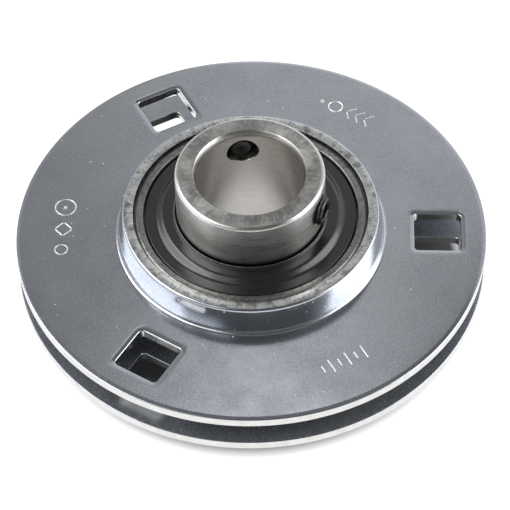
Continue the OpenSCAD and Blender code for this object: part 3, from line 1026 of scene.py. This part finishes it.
def add_floor():
    """A white light table. Its glow is painted out under the flange as a painted shadow, and painted up
    again inside the bore as a painted pool of light.
    """
    bm = bmesh.new()
    for x, y in ((-1, -1), (1, -1), (1, 1), (-1, 1)):
        bm.verts.new((FLOOR_HALF * x, FLOOR_HALF * y, Size.inner_bottom))
    bm.faces.new(bm.verts)
    mesh = bpy.data.meshes.new("floor")
    bm.to_mesh(mesh)
    bm.free()
    floor = bpy.data.objects.new("floor", mesh)
    bpy.context.scene.collection.objects.link(floor)
    n = Nodes("floor_white")
    parts = n.add("ShaderNodeSeparateXYZ", {0: n.place}).outputs
    radius = n.math("SQRT", n.math("ADD", n.math("MULTIPLY", parts["X"], parts["X"]),
                                   n.math("MULTIPLY", parts["Y"], parts["Y"])))
    # Painted light and shade: the floor glows inside the bore, a painted pool of light, and its glow fades
    # to nothing under the flange, a painted shadow.
    inside = n.range(radius, FLOOR_BORE_R, FLOOR_DARK_FROM, FLOOR_BORE_GLOW, 0.0)
    outside = n.range(radius, FLOOR_DARK_TO, FLOOR_LIT_R, 0.0, FLOOR_GLOW)
    glow = n.math("MAXIMUM", inside, outside)
    mesh.materials.append(n.set(Base_Color=(0.1, 0.1, 0.1, 1), Roughness=0.6,
                                Emission_Color=(1, 1, 1, 1), Emission_Strength=glow))


# Radiance of the studio against elevation in degrees, in four directions as seen from the camera:
# behind the bearing to the left, in the middle and to the right, and on the camera's side.
SKY_LEFT = ((0, 0.9), (10, 0.6), (20, 0.42), (38, 0.4), (47, 0.34), (49.5, 0.25), (58, 0.22), (66, 0.2))
SKY_MIDDLE = ((0, 1.3), (14, 1.2), (24, 0.75), (40, 0.65), (47, 0.55), (52, 0.5), (56, 1.35), (62, 1.2),
              (67, 0.2))
SKY_RIGHT = ((0, 1.2), (14, 1.0), (24, 0.75), (45, 0.62), (49.4, 0.6), (50.8, 0.16), (58, 0.14),
             (66, 0.2))
SKY_FRONT = ((0, 0.2), (15, 0.13), (60, 0.12), (90, 0.12))
SKY_LIMIT = 2.0
# Where one direction changes into the next: azimuth in degrees and blur. 0 is behind the bearing.
LEFT_TO_MIDDLE = (-4, 4)
MIDDLE_TO_RIGHT = (5.5, 4)
SIDE_TO_FRONT = (125, 30)
# Softboxes: azimuths and elevations in degrees, blur of their edges, and radiance.
SOFTBOXES = (
    ((-125, -50), (22, 45), 4, 2.6),
    ((-125, -50), (45, 59), 4, 4.6),
    ((66, 118), (10, 52), 5, 2.8),
    ((-154, -126), (33, 66), 10, 1.3),
)


class Sky(Tree):
    """The world's node tree. Its angles are in radians, and those that its calls take in degrees."""

    def angles(self):
        """Azimuth and elevation of a direction, counted from straight behind the bearing."""
        direction = self.add("ShaderNodeTexCoord").outputs["Generated"]
        turn = {"Vector": direction, "Angle": -math.radians(CAMERA_AZIMUTH)}
        turned = self.add("ShaderNodeVectorRotate", turn, rotation_type="Z_AXIS").outputs[0]
        x, y, z = self.add("ShaderNodeSeparateXYZ", {0: turned}).outputs
        return self.math("ARCTAN2", x, y), self.math("ARCSINE", z)

    def ramp(self, elevation, stops):
        """Radiance against elevation; the ramp holds shares of SKY_LIMIT."""
        quarter = {"Value": elevation, "From Min": 0.0, "From Max": math.pi / 2}
        up = self.add("ShaderNodeMapRange", quarter).outputs[0]
        node = self.add("ShaderNodeValToRGB", {"Fac": up})
        elements = node.color_ramp.elements
        while len(elements) < len(stops):
            elements.new(0.5)
        for element, (degrees, radiance) in zip(elements, stops):
            element.position = degrees / 90
            share = radiance / SKY_LIMIT
            element.color = (share, share, share, 1)
        return node.outputs["Color"]

    def span(self, value, low, high):
        limits = {"Value": value, "From Min": math.radians(low), "From Max": math.radians(high)}
        return self.add("ShaderNodeMapRange", limits, interpolation_type="SMOOTHSTEP").outputs[0]

    def window(self, value, limits, blur):
        """1 between the two limits, 0 outside them, with blurred edges."""
        low, high = limits
        rise = self.span(value, low - blur / 2, low + blur / 2)
        fall = self.span(value, high + blur / 2, high - blur / 2)
        return self.math("MULTIPLY", rise, fall)

    def change(self, value, where, before, after):
        """From one part of the sky to the next, across an azimuth."""
        at, blur = where
        return self.mix(self.span(value, at - blur / 2, at + blur / 2), before, after)


def add_world():
    """A studio: pale low down behind, softboxes at the sides, dim overhead and towards the camera."""
    world = bpy.data.worlds.new("studio")
    world.use_nodes = True
    sky = Sky(world.node_tree)
    azimuth, elevation = sky.angles()
    left, middle, right, front = (sky.ramp(elevation, stops)
                                  for stops in (SKY_LEFT, SKY_MIDDLE, SKY_RIGHT, SKY_FRONT))
    light = sky.change(azimuth, LEFT_TO_MIDDLE, left, middle)
    light = sky.change(azimuth, MIDDLE_TO_RIGHT, light, right)
    light = sky.change(sky.math("ABSOLUTE", azimuth), SIDE_TO_FRONT, light, front)
    for azimuths, elevations, blur, radiance in SOFTBOXES:
        box = sky.math("MULTIPLY", sky.window(azimuth, azimuths, blur),
                       sky.window(elevation, elevations, blur))
        glow = sky.math("MULTIPLY", box, radiance / SKY_LIMIT)
        light = sky.mix(1.0, light, glow, blend_type="ADD")
    background = world.node_tree.nodes["Background"]
    world.node_tree.links.new(light, background.inputs["Color"])
    background.inputs["Strength"].default_value = SKY_LIMIT
    bpy.context.scene.world = world


OVERHEAD_SIZE = 0.5
OVERHEAD_HEIGHT = 1.5
OVERHEAD_POWER = 9


def add_overhead():
    """A wide lamp straight above, for the shadows."""
    data = bpy.data.lights.new("overhead", "AREA")
    data.shape = "DISK"
    data.size = OVERHEAD_SIZE
    data.energy = OVERHEAD_POWER
    lamp = bpy.data.objects.new("overhead", data)
    lamp.location = (0, 0, OVERHEAD_HEIGHT)
    lamp.visible_glossy = False
    bpy.context.scene.collection.objects.link(lamp)


def main():
    scene = bpy.context.scene
    scene.view_settings.view_transform = "Standard"
    scene.view_settings.look = "None"
    add_camera()
    add_floor()
    add_world()
    add_overhead()
    add_housing_halves()
    black, rubber = black_coating(), seal_rubber()
    add_outer_ring(ring_steel())
    add_inner_ring(ground_wall(), ground_face(), bore_steel())
    oxide = black_oxide()
    for i in (1, 2):
        add_grub_screw(i, oxide)
    edge = worn_edge()
    for side in ("front", "rear"):
        add_flinger(side, black, edge)
        add_seal(side, black, rubber)
    balls = polished_steel()
    for i in range(1, BALL_COUNT + 1):
        add_ball(i, balls)
    cage = frame["nodes"]["ball_cage"]
    cage.data.materials[0] = cage_polyamide()


main()
